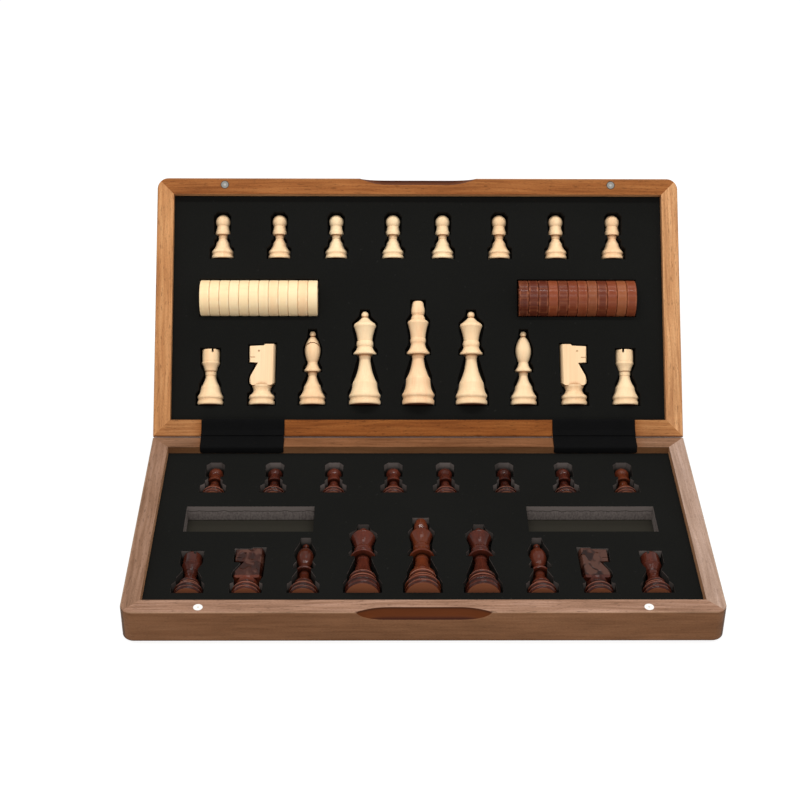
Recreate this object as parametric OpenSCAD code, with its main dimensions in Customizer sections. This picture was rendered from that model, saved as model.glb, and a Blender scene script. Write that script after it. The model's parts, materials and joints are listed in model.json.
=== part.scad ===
// Folding games box. Two shallow wooden trays are hinged along one long edge.
// Each tray holds a foam insert with a set of chessmen lying in cut pockets,
// and the lid's insert also holds the draughts. The outsides form a chessboard.
// Every half is drawn in a tray frame: x across, v up the tray from its near
// edge, and z = 0 at the rim with the tray below it.

/* [Box] */
// Width of the box along the fold
board_w = 380; // [352:1:440]
// Depth of one half, from the fold to its free edge
board_d = 190; // [176:1:230]
// Height of one half
half_h = 24; // [22.5:0.5:32]
// Thickness of the wooden rails
rail_t = 12; // [10:0.5:14]
// Radius of the box's free corners, seen from above
corner_r = 8; // [4:0.5:9]
// Rounding of the rails' long edges
edge_r = 1.2; // [0.6:0.1:2]
// Angle between the halves at rest
lid_open = 131.4; // [95:0.1:175]

/* [Playing board] */
// Thickness of the board panels
panel_t = 3; // [2.5:0.1:4]
// Width of the rail's lip outside the panel
panel_lip = 6; // [3:0.5:8]
// Width of the border round the squares
board_border = 18; // [14:1:24]
// Thickness of the inlaid squares
inlay_t = 0.6; // [0.4:0.1:1]
// Squares along one side of the open board
squares = 8; // [8:2:10]

/* [Finger notch] */
// Length of the notch's straight part
notch_l = 44; // [20:1:60]
// Radius of the curve in which the notch runs out at its ends
notch_sweep = 38; // [20:1:60]
// Depth of the notch into the rim
notch_in = 5; // [3:0.5:6]
// Height of the notch down the outer face
notch_down = 6.5; // [4:0.5:8]

/* [Magnets] */
// Diameter of the magnets
magnet_d = 6; // [4:0.5:6]
// Thickness of the magnets
magnet_t = 3; // [2:0.5:5]
// Distance of the magnets from the box's centre line
magnet_x = 141; // [100:1:150]
// Distance of the magnets from the free edge
magnet_in = 5; // [4.5:0.1:6]

/* [Hinges] */
// Distance of the hinges from the box's centre line
hinge_x = 125.7; // [80:0.1:135]
// Length of a hinge
hinge_l = 50; // [30:1:56]
// Wood left between a hinge leaf and the rail's inner face
leaf_margin = 1; // [0.5:0.1:2]
// Thickness of a hinge leaf
leaf_t = 1.2; // [0.8:0.1:1.5]
// Outer diameter of the knuckles
knuckle_d = 4.4; // [3.8:0.1:5]
// Diameter of the hinge pin
pin_d = 2; // [1.5:0.1:2.4]
// Knuckles in a hinge
knuckles = 5; // [3:2:7]
// Screws in a leaf
leaf_screws = 3; // [2:1:4]
// Diameter of a screw's head
screw_head_d = 4.2; // [3.4:0.1:4.6]
// Diameter of a screw's shank
screw_d = 2; // [1.6:0.1:2.4]
// Length of a screw
screw_l = 9; // [6:0.5:12]
// Width of the felt strip over a hinge
felt_w = 60; // [58:1:70]
// Thickness of the felt
felt_t = 0.6; // [0.4:0.1:1]

/* [Foam inserts] */
// Depth of the foam's surface below the rim
foam_drop = 5.5; // [4:0.1:7]
// Space round a man in its pocket
pocket_gap = 1; // [0.8:0.1:1.5]
// Thickness of foam left under the base's empty slots
slot_floor = 3.5; // [2:0.5:6]

/* [Draughts] */
// Largest diameter of a draught; a shallow box makes them smaller
draught_most = 26.3; // [22:0.1:28]
// Thickness of a draught
draught_t = 7; // [6:0.1:7.2]
// Draughts of one colour
draughts = 12; // [8:1:12]
// Distance of the slots' centres from the box's centre line
slot_x = 115.4; // [112:0.1:118]
// Place of the lid's slots, in percent of the way from the bishops to the pawns
lid_slot_rise = 44; // [42:0.5:47]
// Place of the base's slots, in percent of the way from the bishops to the pawns
base_slot_rise = 41; // [40:0.5:46]
// Space round a row of draughts in its slot
slot_gap = 0.75; // [0.5:0.05:1]

/* [King] */
// Height of the king
king_h = 76; // [70:0.5:80]
// Radius of the king's foot
king_foot_r = 11.75; // [10.5:0.05:12]
// Radius of the king's collar
king_collar_r = 8.35; // [7.5:0.05:9]

/* [Queen] */
// Height of the queen
queen_h = 68.8; // [62:0.1:72]
// Radius of the queen's foot
queen_foot_r = 11.5; // [10.5:0.05:12]
// Radius of the queen's collar
queen_collar_r = 8.45; // [7.5:0.05:9]
// Radius of the ball on the queen's crown
queen_ball_r = 2.65; // [2.3:0.05:3]

/* [Bishop] */
// Height of the bishop
bishop_h = 54.4; // [50:0.1:58]
// Radius of the bishop's foot
bishop_foot_r = 9.5; // [9:0.05:10.5]
// Radius of the bishop's collar
bishop_collar_r = 6.2; // [5.8:0.05:7]
// Radius of the ball on the bishop's mitre
bishop_ball_r = 2.25; // [2:0.05:2.6]

/* [Knight] */
// Height of the knight
knight_h = 44.2; // [41:0.1:48]
// Radius of the knight's foot
knight_foot_r = 9.5; // [9:0.05:10.5]
// Thickness of the knight's head
knight_t = 11.5; // [9:0.1:13]
// Reach of the muzzle and the back of the head from the foot's centre
knight_reach = 9.4; // [8.6:0.05:10.5]

/* [Rook] */
// Height of the rook
rook_h = 40.5; // [38:0.1:44]
// Radius of the rook's foot
rook_foot_r = 9.5; // [9:0.05:10.5]
// Radius of the rook's turret
rook_turret_r = 6.35; // [5.8:0.05:7]
// Cuts across the rook's battlement
rook_cuts = 2; // [2:1:3]
// Turn of the rooks about their axes as they lie
rook_turn = 15; // [0:1:45]

/* [Pawn] */
// Height of the pawn
pawn_h = 33.2; // [31:0.1:35]
// Radius of the pawn's foot
pawn_foot_r = 8.1; // [7.5:0.05:8.6]
// Radius of the pawn's head
pawn_head_r = 5.3; // [4.8:0.05:5.6]

/* [Layout] */
// Distance of the queens from the centre line
queen_x = 38.6; // [36:0.1:41]
// Distance of the bishops from the centre line
bishop_x = 76.6; // [74:0.1:79]
// Distance of the knights from the centre line
knight_x = 113.2; // [111:0.1:115]
// Distance of the rooks from the centre line
rook_x = 150.3; // [148:0.1:152]
// Distance of the inner pawns from the centre line
pawn_x = 18.2; // [16:0.1:20]
// Distance from one pawn to the next outwards
pawn_pitch = 41.6; // [39:0.1:42]
// Distance of the tall men's feet from the fold in the lid
lid_row_v = 23.9; // [23:0.1:26]
// Distance of the tall men's feet from the free edge in the base
base_row_v = 26.2; // [24:0.1:27]
// Distance of the pawns' feet from the lid's free edge
lid_pawn_in = 58; // [56:0.1:60]
// Distance of the pawns' feet from the fold in the base
base_pawn_in = 57.5; // [56:0.1:60]

/* [Hidden] */
// Gap between the halves' backs with the box open flat, and between their rims with it shut
fold_gap = 0.4;
rim_gap = 0.4;
// Gap between a man and what it lies on or in
rest_gap = 0.2;
// Gap round a foam insert, and round an inlaid square
foam_gap = 0.25;
inlay_gap = 0.1;
// Running clearances of the hinges
knuckle_gap = 0.3;
pin_clear = 0.06;
groove_gap = 0.4;
// How far a cutter runs past the face it cuts
past = 1;
// Longest step along a turned curve
arc_step = 2.2;
// Edge radius and depth of the ring turned into a draught's faces
draught_edge = 0.8;
draught_ring = 0.4;

floor_z = panel_t - half_h;
foam_z = -foam_drop;
hinge_y = board_d/2 + fold_gap/2;
hinge_z = half_h + rim_gap/2;
draught_d = min(draught_most, foam_drop - floor_z - rest_gap);
leaf_w = rail_t + fold_gap/2 - leaf_margin;
square_w = min((board_w - 2*board_border)/squares, (board_d - board_border)/(squares/2));
seat_drop = felt_t + leaf_t;
knuckle_r = knuckle_d/2;
knuckle_l = (hinge_l - (knuckles - 1)*knuckle_gap)/knuckles;
slot_l = draughts*(draught_t + rest_gap/2) + 2*slot_gap;
slot_w = draught_d + 2*slot_gap;
lid_pawn_v = board_d - lid_pawn_in;
base_pawn_v = board_d - base_pawn_in;
lid_slot_v = slot_place(lid_row_v, lid_pawn_v, lid_slot_rise);
base_slot_v = slot_place(base_row_v, base_pawn_v, base_slot_rise);
function slot_place(row_v, pawn_v, rise) =
    row_v + bishop_h + (pawn_v - row_v - bishop_h)*rise/100;

walnut = [0.50, 0.34, 0.22];
maple = [0.93, 0.80, 0.60];
boxwood = [0.96, 0.82, 0.60];
rosewood = [0.36, 0.15, 0.10];
foam_black = [0.10, 0.10, 0.095];
felt_black = [0.06, 0.06, 0.065];
steel_grey = [0.72, 0.73, 0.75];
brass_yellow = [0.78, 0.62, 0.32];

// ---------------------------------------------------------------- frames

// The base's tray frame, with its free edge towards -Y
module in_base() translate([0, -board_d/2, half_h]) children();

// The lid's tray frame, with its near edge at the fold
module in_lid()
    translate([0, hinge_y, hinge_z])
        rotate([180 - lid_open, 0, 0])
            translate([0, fold_gap/2, -rim_gap/2]) children();

// Turns a tray drawn with its free edge at v = 0 into one with its fold there
module fold_first() translate([0, board_d, 0]) mirror([0, 1, 0]) children();

module both_sides(x) {
    translate([-x, 0, 0]) children();
    translate([x, 0, 0]) children();
}

// ----------------------------------------------------------------- rails

// Cross-section of a rail: x from its outer face inwards, y down from the rim
module rail_section() translate([0, -half_h]) difference() {
    square([rail_t, half_h]);
    for (y = [0, half_h])
        difference() {
            translate([0, y == 0 ? 0 : y - edge_r]) square(edge_r);
            translate([edge_r, y == 0 ? edge_r : y - edge_r]) circle(edge_r);
        }
}

module rail_bar(length) rotate([90, 0, 90]) linear_extrude(length) rail_section();

// A quarter turn of the same section round a free corner of the box
module rail_corner() rotate([0, 0, 180]) rotate_extrude(angle = 90)
    intersection() {
        translate([corner_r, 0]) mirror([1, 0]) rail_section();
        translate([0, -half_h]) square([corner_r, half_h]);
    }

module free_corners() {
    translate([corner_r - board_w/2, corner_r, 0]) rail_corner();
    mirror([1, 0, 0]) translate([corner_r - board_w/2, corner_r, 0]) rail_corner();
}

// An upright block over a rail's plan, to cut its mitres
module upright(outline) translate([0, 0, -half_h - past])
    linear_extrude(half_h + 2*past) polygon(outline);

// The space that the board panel takes in the rails
module panel_space() translate([panel_lip - board_w/2, panel_lip, -half_h - past])
    cube([board_w - 2*panel_lip, board_d - panel_lip + past, panel_t + past]);

module free_rail() {
    half = board_w/2;
    difference() {
        intersection() {
            union() {
                translate([corner_r - half, 0, 0]) rail_bar(board_w - 2*corner_r);
                free_corners();
            }
            upright([[-half, 0], [half, 0], [half - rail_t, rail_t], [rail_t - half, rail_t]]);
        }
        panel_space();
        finger_notch();
        both_sides(magnet_x) translate([0, magnet_in, -magnet_t])
            cylinder(d = magnet_d + 2*pin_clear, h = magnet_t + past);
    }
}

module fold_rail() {
    half = board_w/2;
    difference() {
        intersection() {
            translate([-half, board_d, 0]) mirror([0, 1, 0]) rail_bar(board_w);
            upright([[-half, board_d], [half, board_d],
                     [half - rail_t, board_d - rail_t], [rail_t - half, board_d - rail_t]]);
        }
        panel_space();
        both_sides(hinge_x) hinge_seat();
    }
}

module side_rail() {
    half = board_w/2;
    difference() {
        intersection() {
            union() {
                translate([-half, board_d, 0]) rotate([0, 0, -90]) rail_bar(board_d - corner_r);
                free_corners();
            }
            upright([[-half, 0], [rail_t - half, rail_t],
                     [rail_t - half, board_d - rail_t], [-half, board_d]]);
        }
        panel_space();
    }
}

// A scoop along the free edge, cut by a round cutter whose circle passes
// notch_in behind the edge at the rim and notch_down below it on the outer
// face. At both ends the cutter runs out of the wood in a curve.
module finger_notch() {
    out = 4;
    up = (notch_in*notch_in - notch_down*notch_down + 2*notch_in*out)/(2*notch_down);
    cut_r = sqrt(pow(notch_in + out, 2) + up*up);
    run = 50;
    translate([0, -out, up]) {
        translate([-notch_l/2, 0, 0]) rotate([0, 90, 0]) cylinder(r = cut_r, h = notch_l);
        for (side = [0, 1]) mirror([side, 0, 0])
            translate([notch_l/2, -notch_sweep, 0]) rotate([0, 0, 90 - run])
                rotate_extrude(angle = run) translate([notch_sweep, 0]) circle(cut_r);
    }
}

// ---------------------------------------------------------------- hinges

// What the hinge, its felt and its screws take out of the fold rail
module hinge_seat() {
    translate([-felt_w/2, board_d - rail_t - past, -felt_t])
        cube([felt_w, rail_t + 2*past, felt_t + past]);
    translate([-hinge_l/2 - pin_clear, board_d + fold_gap/2 - leaf_w - pin_clear, -seat_drop])
        cube([hinge_l + 2*pin_clear, leaf_w + past, seat_drop]);
    at_pin() rotate([0, 90, 0])
        translate([0, 0, -(hinge_l + 2*groove_gap)/2])
            cylinder(r = knuckle_r + groove_gap, h = hinge_l + 2*groove_gap);
    at_screws() screw_shape(screw_d + 2*pin_clear, screw_head_d, screw_l + 2*pin_clear);
}

module at_pin() translate([0, board_d + fold_gap/2, rim_gap/2]) children();

module at_screws() {
    pitch = hinge_l/leaf_screws;
    for (i = [0 : leaf_screws - 1])
        translate([(i - (leaf_screws - 1)/2)*pitch,
                   board_d - (leaf_w + knuckle_r)/2 - groove_gap/2, -felt_t]) children();
}

// A countersunk screw with its head's flat top at z = 0
module screw_shape(shank, head, length) rotate_extrude()
    polygon([[0, 0], [head/2, 0], [shank/2, -(head - shank)/2],
             [shank/2, screw_d - length], [0, -length]]);

// One leaf with its share of the knuckles: the first, third and so on if odd
module leaf(odd) difference() {
    union() {
        translate([-hinge_l/2, board_d + fold_gap/2 - leaf_w, -seat_drop])
            cube([hinge_l, leaf_w - knuckle_r - groove_gap, leaf_t]);
        for (i = [(odd ? 0 : 1) : 2 : knuckles - 1])
            translate([i*(knuckle_l + knuckle_gap) - hinge_l/2, 0, 0]) {
                translate([0, board_d + fold_gap/2 - knuckle_r - groove_gap - past, -seat_drop])
                    cube([knuckle_l, knuckle_r + groove_gap + past, leaf_t]);
                at_pin() rotate([0, 90, 0]) cylinder(r = knuckle_r, h = knuckle_l);
            }
    }
    at_pin() translate([-hinge_l/2 - past, 0, 0]) rotate([0, 90, 0])
        cylinder(d = pin_d + 2*pin_clear, h = hinge_l + 2*past);
    at_screws() screw_shape(screw_d + 2*pin_clear, screw_head_d, screw_l);
    at_screws() cylinder(d = screw_head_d, h = past);
}

module pin() at_pin() translate([-hinge_l/2, 0, 0]) rotate([0, 90, 0])
    cylinder(d = pin_d, h = hinge_l);

// A felt strip that lies over the leaf and turns down the tray's inner wall
module felt_cover() translate([-felt_w/2 + pin_clear, 0, 0]) rotate([90, 0, 90])
    linear_extrude(felt_w - 2*pin_clear)
        polygon([[board_d - knuckle_r - groove_gap, 0], [board_d - rail_t - felt_t, 0],
                 [board_d - rail_t - felt_t, foam_z + rest_gap], [board_d - rail_t, foam_z + rest_gap],
                 [board_d - rail_t, -felt_t], [board_d - knuckle_r - groove_gap, -felt_t]]);

// ------------------------------------------------------- board and magnets

// The pale squares of one half, each a little smaller than its recess
module pale_squares(gap, height) for (i = [0 : squares - 1], j = [0 : squares/2 - 1])
    if ((i + j) % 2 == 1)
        translate([(i - squares/2)*square_w + gap, board_d - (j + 1)*square_w + gap, -half_h])
            cube([square_w - 2*gap, square_w - 2*gap, height]);

module board_panel() difference() {
    translate([panel_lip - board_w/2, panel_lip, -half_h])
        cube([board_w - 2*panel_lip, board_d - panel_lip, panel_t]);
    translate([0, 0, -past]) pale_squares(inlay_gap, inlay_t + past);
}

module magnet_pair() both_sides(magnet_x) translate([0, magnet_in, -magnet_t])
    cylinder(d = magnet_d, h = magnet_t);

// ---------------------------------------------------------- turned chessmen

// A turned outline is a list of [radius, height, arc]. The arc is the radius of
// the curve that leads up to the point: positive bulges, negative is hollow.
function chord(a, b) = sqrt(pow(b[0] - a[0], 2) + pow(b[1] - a[1], 2));
function arc_centre(a, b) =
    let (d = chord(a, b), r = abs(b[2]), s = (b[2] < 0 ? 1 : -1)*sqrt(max(r*r - d*d/4, 0))/d)
    [(a[0] + b[0])/2 + s*(b[1] - a[1]), (a[1] + b[1])/2 - s*(b[0] - a[0])];

// Points from a to b, along the curve in steps of 18 degrees or arc_step at most
function outline_run(a, b) = b[2] == 0 ? [[b[0], b[1]]] : let (
    c = arc_centre(a, b), r = chord(a, c), from = atan2(a[1] - c[1], a[0] - c[0]),
    turn = (atan2(b[1] - c[1], b[0] - c[0]) - from + 540) % 360 - 180,
    n = ceil(max(abs(turn)/18, abs(turn)*r*PI/180/arc_step)))
    [for (i = [1 : n]) [c[0] + r*cos(from + turn*i/n), c[1] + r*sin(from + turn*i/n)]];

function outline_points(outline) = concat([[outline[0][0], outline[0][1]]],
    [for (i = [1 : len(outline) - 1]) each outline_run(outline[i - 1], outline[i])]);

module turned(outline) rotate_extrude() polygon(concat([[0, outline[0][1]]],
    outline_points(outline), [[0, outline[len(outline) - 1][1]]]));

// The largest radius that an outline has at or above a height
function widest(outline, from) = max([for (p = outline_points(outline)) if (p[1] >= from) p[0]]);

// A man's proportions: foot height, shoulder radius and height, neck radius and
// collar height. Radii are shares of the foot's radius, heights of the man's.
king_form = [0.113, 0.77, 0.217, 0.36, 0.486];
queen_form = [0.114, 0.80, 0.199, 0.345, 0.534];
bishop_form = [0.130, 0.695, 0.208, 0.315, 0.450];
rook_form = [0.171, 0.763, 0.269, 0.38, 0.597];
pawn_form = [0.185, 0.63, 0.293, 0.345, 0.546];

// Height of the turned ring under every collar, and rounding of every foot
ring_h = 2.8;
foot_edge = 1.1;

function foot_h(form, h) = form[0]*h;
function shoulder_r(form, r) = form[1]*r;
function shoulder_h(form, h) = form[2]*h;
function neck_r(form, r) = form[3]*r;
function collar_h(form, h) = form[4]*h;

// A plinth, a groove, a bead, a hollow shoulder and a hollow stem
function body_outline(form, r, h) = let (
    f = foot_h(form, h), s = shoulder_r(form, r), sh = shoulder_h(form, h),
    n = neck_r(form, r), c = collar_h(form, h),
    lip = [s - 0.1*f, sh + 0.4*f], neck = [n, c - ring_h])
    [[r - foot_edge, 0, 0], [r, foot_edge, foot_edge], [r - 0.1, 0.36*f, 0],
     [r - 0.5, 0.64*f, -0.2*f], [r - 0.7, f, 0.25*f], [s, sh, -1.2*r],
     [s - 0.25, sh + 0.3*f, 0], [lip[0], lip[1], 0],
     [n, c - ring_h, -2.4*chord(lip, neck)], [n + 0.35, c - 0.8*ring_h, 0], [n + 0.45, c, 0]];

// Heads, in shares of the collar's radius and of the height above the collar
king_head = [[0.96, 0, 0], [1, 0.03, 0.2], [0.62, 0.19, -1.4], [0.63, 0.205, 0],
    [0.64, 0.31, 0.55], [0.89, 0.575, -4.8], [0.78, 0.632, 0.19], [0.64, 0.657, 0],
    [0.5, 0.739, 1.1], [0.6, 0.785, 0], [0.6, 0.845, 0], [0.47, 0.985, 0], [0.4, 1, 0]];
queen_head = [[0.96, 0, 0], [1, 0.03, 0.2], [0.67, 0.165, -1], [0.68, 0.18, 0],
    [0.64, 0.32, 0.5], [0.92, 0.62, -3.8], [0.82, 0.72, 0.25], [0.28, 0.85, -2]];
bishop_head = [[0.96, 0, 0], [1, 0.04, 0.3], [0.58, 0.21, -1.5], [0.57, 0.235, 0],
    [0.93, 0.5, 3.2], [0.31, 0.85, 2.4]];
rook_head = [[0.57, 0, 0], [0.72, 0.07, 0], [0.86, 0.25, -1.5], [1, 0.35, 0],
    [0.985, 0.46, 0.22], [1, 0.55, 0], [1, 0.95, 0], [0.96, 1, 0]];
pawn_head = [[0.96, 0, 0], [1, 0.05, 0.3], [1, 0.14, 0], [0.82, 0.37, -1.4], [0.78, 0.46, 0]];

function head_outline(shares, r, base, h) =
    [for (p = shares) [p[0]*r, base + p[1]*(h - base), p[2]*r]];

function man_outline(form, shares, foot, head, h) =
    concat(body_outline(form, foot, h), head_outline(shares, head, collar_h(form, h), h));

king_outline = man_outline(king_form, king_head, king_foot_r, king_collar_r, king_h);
queen_outline = man_outline(queen_form, queen_head, queen_foot_r, queen_collar_r, queen_h);
bishop_outline = man_outline(bishop_form, bishop_head, bishop_foot_r, bishop_collar_r, bishop_h);
rook_outline = man_outline(rook_form, rook_head, rook_foot_r, rook_turret_r, rook_h);
pawn_outline = man_outline(pawn_form, pawn_head, pawn_foot_r, pawn_head_r, pawn_h);

module king() turned(king_outline);

module queen() {
    turned(queen_outline);
    translate([0, 0, queen_h - queen_ball_r]) sphere(queen_ball_r);
}

// The mitre is cut by a slanting slit
module bishop() {
    slit_w = 0.9;
    difference() {
        turned(bishop_outline);
        translate([0.35*bishop_collar_r, 0, 0.79*bishop_h]) rotate([0, -45, 0])
            translate([0, -bishop_collar_r, -slit_w/2])
                cube([2*bishop_collar_r, 2*bishop_collar_r, slit_w]);
    }
    translate([0, 0, bishop_h - bishop_ball_r]) sphere(bishop_ball_r);
}

// The turret is hollow at the top and its wall is cut into battlements
module rook() {
    cut_w = 1.5;
    cut_d = 2.4;
    difference() {
        turned(rook_outline);
        translate([0, 0, rook_h - cut_d]) cylinder(r = 0.66*rook_turret_r, h = cut_d + past);
        for (i = [0 : rook_cuts - 1]) rotate([0, 0, 90 + i*180/rook_cuts])
            translate([-cut_w/2, -rook_turret_r - past, rook_h - cut_d])
                cube([cut_w, 2*(rook_turret_r + past), cut_d + past]);
    }
}

module pawn() {
    turned(pawn_outline);
    translate([0, 0, pawn_h - pawn_head_r]) sphere(pawn_head_r);
}

// Outline of the knight's head above its waist, in shares of the reach and of
// the knight's height: brow, muzzle, throat, chest and the turned lower edge
knight_head = [[-0.28, 1], [-0.15, 0.975], [0.91, 0.965], [0.94, 0.95], [0.94, 0.70],
    [0.28, 0.69], [0.82, 0.48], [0.94, 0.415], [0.94, 0.375], [0.9, 0.355], [0.72, 0.322],
    [-0.72, 0.322], [-0.97, 0.36], [-1.3, 0.42], [-1.3, 1]];
knight_outline = let (f = 0.16*knight_h, r = knight_foot_r, k = knight_reach)
    [[r - foot_edge, 0, 0], [r, foot_edge, foot_edge], [r - 0.1, 0.36*f, 0],
     [r - 0.5, 0.64*f, -0.2*f], [r - 0.7, f, 0.25*f], [0.65*k, 0.23*knight_h, -0.64*k],
     [0.74*k, 0.3*knight_h, -0.45*k], [0.77*k, 0.335*knight_h, 0]];

// A turned foot and waist. The head is sawn from a turned block, so the
// back of its neck stays round.
module knight() {
    r = knight_reach;
    back_r = 1.08*r;
    turned(knight_outline);
    difference() {
        intersection() {
            rotate([90, 0, 0]) linear_extrude(knight_t, center = true)
                polygon([for (p = knight_head) [p[0]*r, p[1]*knight_h]]);
            translate([0, 0, 0.3*knight_h])
                cylinder(r1 = 0.95*back_r, r2 = back_r, h = 0.7*knight_h);
        }
        // An eye and a mouth are cut into each side of the head
        for (side = [-1, 1]) translate([0, side*knight_t/2, 0]) rotate([90, 0, 0]) {
            translate([0.22*r, 0.885*knight_h, -0.4]) cylinder(d = 0.16*r, h = 0.8);
            translate([0.5*r, 0.775*knight_h, -0.4]) cube([0.5*r, 0.012*knight_h, 0.8]);
        }
    }
}

// ------------------------------------------------- how the men lie in the foam

// A man lies level, its foot on the panel and its widest ring above the
// shoulder on a ledge of foam: [radius of the foot, radius on the ledge]
function lie(form, outline, h) = [widest(outline, 0), widest(outline, collar_h(form, h))];
king_lie = lie(king_form, king_outline, king_h);
queen_lie = lie(queen_form, queen_outline, queen_h);
bishop_lie = lie(bishop_form, bishop_outline, bishop_h);
knight_lie = [widest(knight_outline, 0), knight_t/2];
rook_lie = lie(rook_form, rook_outline, rook_h);
pawn_lie = lie(pawn_form, pawn_outline, pawn_h);

function axis_z(lie) = floor_z + rest_gap + lie[0];

// Lays a man in the tray with its head up the tray and its foot's centre at x, v
module laid(x, v, lie) translate([x, v, axis_z(lie)]) rotate([-90, 0, 0]) children();

// Half of a pocket's outline round a man's foot, its stem and its head
function foot_pocket(form, r, h) = let (g = pocket_gap, f = foot_h(form, h), s = shoulder_r(form, r))
    [[r + g, -g], [r + g, f + g], [s + g, shoulder_h(form, h)],
     [s + g, shoulder_h(form, h) + 0.4*f + g]];
function stem_pocket(form, r, h) = let (g = pocket_gap, n = neck_r(form, r) + 0.5 + g)
    [[n, collar_h(form, h) - ring_h], [n, collar_h(form, h) - g]];
function head_pocket(shares, r, base, h) = [for (p = shares)
    [p[0]*r + pocket_gap, base + p[1]*(h - base) + (p[1] == 0 ? -pocket_gap : p[1] == 1 ? pocket_gap : 0)]];

king_case = [[1, 0], [1, 0.09], [0.74, 0.19], [0.74, 0.33], [0.94, 0.56], [0.94, 0.64],
    [0.56, 0.76], [0.56, 1]];
queen_case = [[1, 0], [1, 0.1], [0.76, 0.19], [0.76, 0.33], [0.98, 0.58], [0.98, 0.72],
    [0.42, 0.88], [0.3, 1]];
bishop_case = [[1, 0], [1, 0.1], [0.68, 0.22], [0.98, 0.42], [0.98, 0.58], [0.5, 0.84], [0.36, 1]];
rook_case = [[0.62, 0], [0.9, 0.16], [1.04, 0.3], [1.04, 1]];
pawn_case = [[1, 0], [1.04, 0.86], [0.5, 1]];
knight_case = [[-1.12, 0.35], [-1.19, 1.025], [-0.22, 1.025], [-0.1, 0.995], [1.05, 0.995],
    [1.05, 0.675], [0.55, 0.665], [1.0, 0.48], [1.06, 0.42], [1.06, 0.35], [0.88, 0.29]];

module pocket_cut(side, bottom = floor_z - past) translate([0, 0, bottom])
    linear_extrude(foam_z - bottom + past)
        polygon(concat(side, [for (i = [len(side) - 1 : -1 : 0]) [-side[i][0], side[i][1]]]));

// A pocket goes down to the panel round the foot and to the ledge elsewhere
module pocket(form, shares, r, head_r, h, lie) {
    foot = foot_pocket(form, r, h);
    pocket_cut(foot);
    pocket_cut(concat(foot, stem_pocket(form, r, h),
        head_pocket(shares, head_r, collar_h(form, h), h)), axis_z(lie) - lie[1] - rest_gap);
}

module king_pocket() pocket(king_form, king_case, king_foot_r, king_collar_r, king_h, king_lie);
module queen_pocket()
    pocket(queen_form, queen_case, queen_foot_r, queen_collar_r, queen_h, queen_lie);
module bishop_pocket()
    pocket(bishop_form, bishop_case, bishop_foot_r, bishop_collar_r, bishop_h, bishop_lie);
module rook_pocket() pocket(rook_form, rook_case, rook_foot_r, rook_turret_r, rook_h, rook_lie);
module pawn_pocket() pocket(pawn_form, pawn_case, pawn_foot_r, pawn_head_r, pawn_h, pawn_lie);

module knight_pocket() {
    g = pocket_gap;
    foot = [[knight_foot_r + g, -g], [knight_foot_r + g, 0.19*knight_h],
            [0.77*knight_reach + g, 0.22*knight_h]];
    ledge_z = axis_z(knight_lie) - knight_lie[1] - rest_gap;
    pocket_cut(concat(foot, [[0.77*knight_reach + g, 0.335*knight_h + g]]));
    translate([0, 0, ledge_z]) linear_extrude(foam_z - ledge_z + past)
        polygon(concat([for (i = [len(foot) - 1 : -1 : 0]) [-foot[i][0], foot[i][1]]], foot,
            [for (i = [len(knight_case) - 1 : -1 : 0])
                [knight_case[i][0]*knight_reach, knight_case[i][1]*knight_h]]));
}

// ----------------------------------------------------------- foam inserts

// Pockets of one set of men, with the tall men at row_v and the pawns at pawn_v
module pockets(row_v, pawn_v) {
    translate([0, row_v, 0]) {
        king_pocket();
        both_sides(queen_x) queen_pocket();
        both_sides(bishop_x) bishop_pocket();
        both_sides(rook_x) rook_pocket();
        translate([knight_x, 0, 0]) knight_pocket();
        translate([-knight_x, 0, 0]) mirror([1, 0, 0]) knight_pocket();
    }
    for (i = [0 : 3]) translate([0, pawn_v, 0]) both_sides(pawn_x + i*pawn_pitch) pawn_pocket();
}

module slots(v, depth) both_sides(slot_x)
    translate([-slot_l/2, v - slot_w/2, foam_z - depth]) cube([slot_l, slot_w, depth + past]);

module foam(row_v, pawn_v, slot_v, slot_depth) difference() {
    translate([rail_t + foam_gap - board_w/2, rail_t + foam_gap, floor_z])
        cube([board_w - 2*(rail_t + foam_gap), board_d - 2*(rail_t + foam_gap), foam_z - floor_z]);
    pockets(row_v, pawn_v);
    slots(slot_v, slot_depth);
}

// ---------------------------------------------------------------- draughts

// A draught on edge with its axis along x, and a ring turned into each face
module draught() rotate([0, 90, 0]) difference() {
    r = draught_d/2;
    e = draught_edge;
    turned([[r - e, 0, 0], [r, e, e], [r, draught_t - e, 0], [r - e, draught_t, e]]);
    for (z = [-past, draught_t - draught_ring])
        translate([0, 0, z]) difference() {
            cylinder(r = 0.8*r, h = draught_ring + past);
            translate([0, 0, -past]) cylinder(r = 0.55*r, h = draught_ring + 3*past);
        }
}

module draught_row(x) {
    pitch = draught_t + rest_gap/2;
    for (i = [0 : draughts - 1])
        translate([x + (i - draughts/2)*pitch + rest_gap/4, lid_slot_v,
                   floor_z + rest_gap + draught_d/2])
            draught();
}

// ------------------------------------------------------------ named pieces

module base_front_rail() color(walnut) in_base() free_rail();
module base_back_rail() color(walnut) in_base() fold_rail();
module base_left_rail() color(walnut) in_base() side_rail();
module base_right_rail() color(walnut) in_base() mirror([1, 0, 0]) side_rail();
module base_panel() color(walnut) in_base() board_panel();
module base_pale_squares() color(maple) in_base() pale_squares(inlay_gap, inlay_t);
module base_foam() color(foam_black) in_base()
    foam(base_row_v, base_pawn_v, base_slot_v, foam_z - floor_z - slot_floor);
module base_magnets() color(steel_grey) in_base() magnet_pair();
module base_hinge_leaves() color(brass_yellow) in_base() both_sides(hinge_x) leaf(true);
module base_hinge_screws() color(brass_yellow) in_base() both_sides(hinge_x)
    at_screws() screw_shape(screw_d, screw_head_d, screw_l);
module hinge_pins() color(steel_grey) in_base() both_sides(hinge_x) pin();
module base_hinge_felt() color(felt_black) in_base() both_sides(hinge_x) felt_cover();

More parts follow.
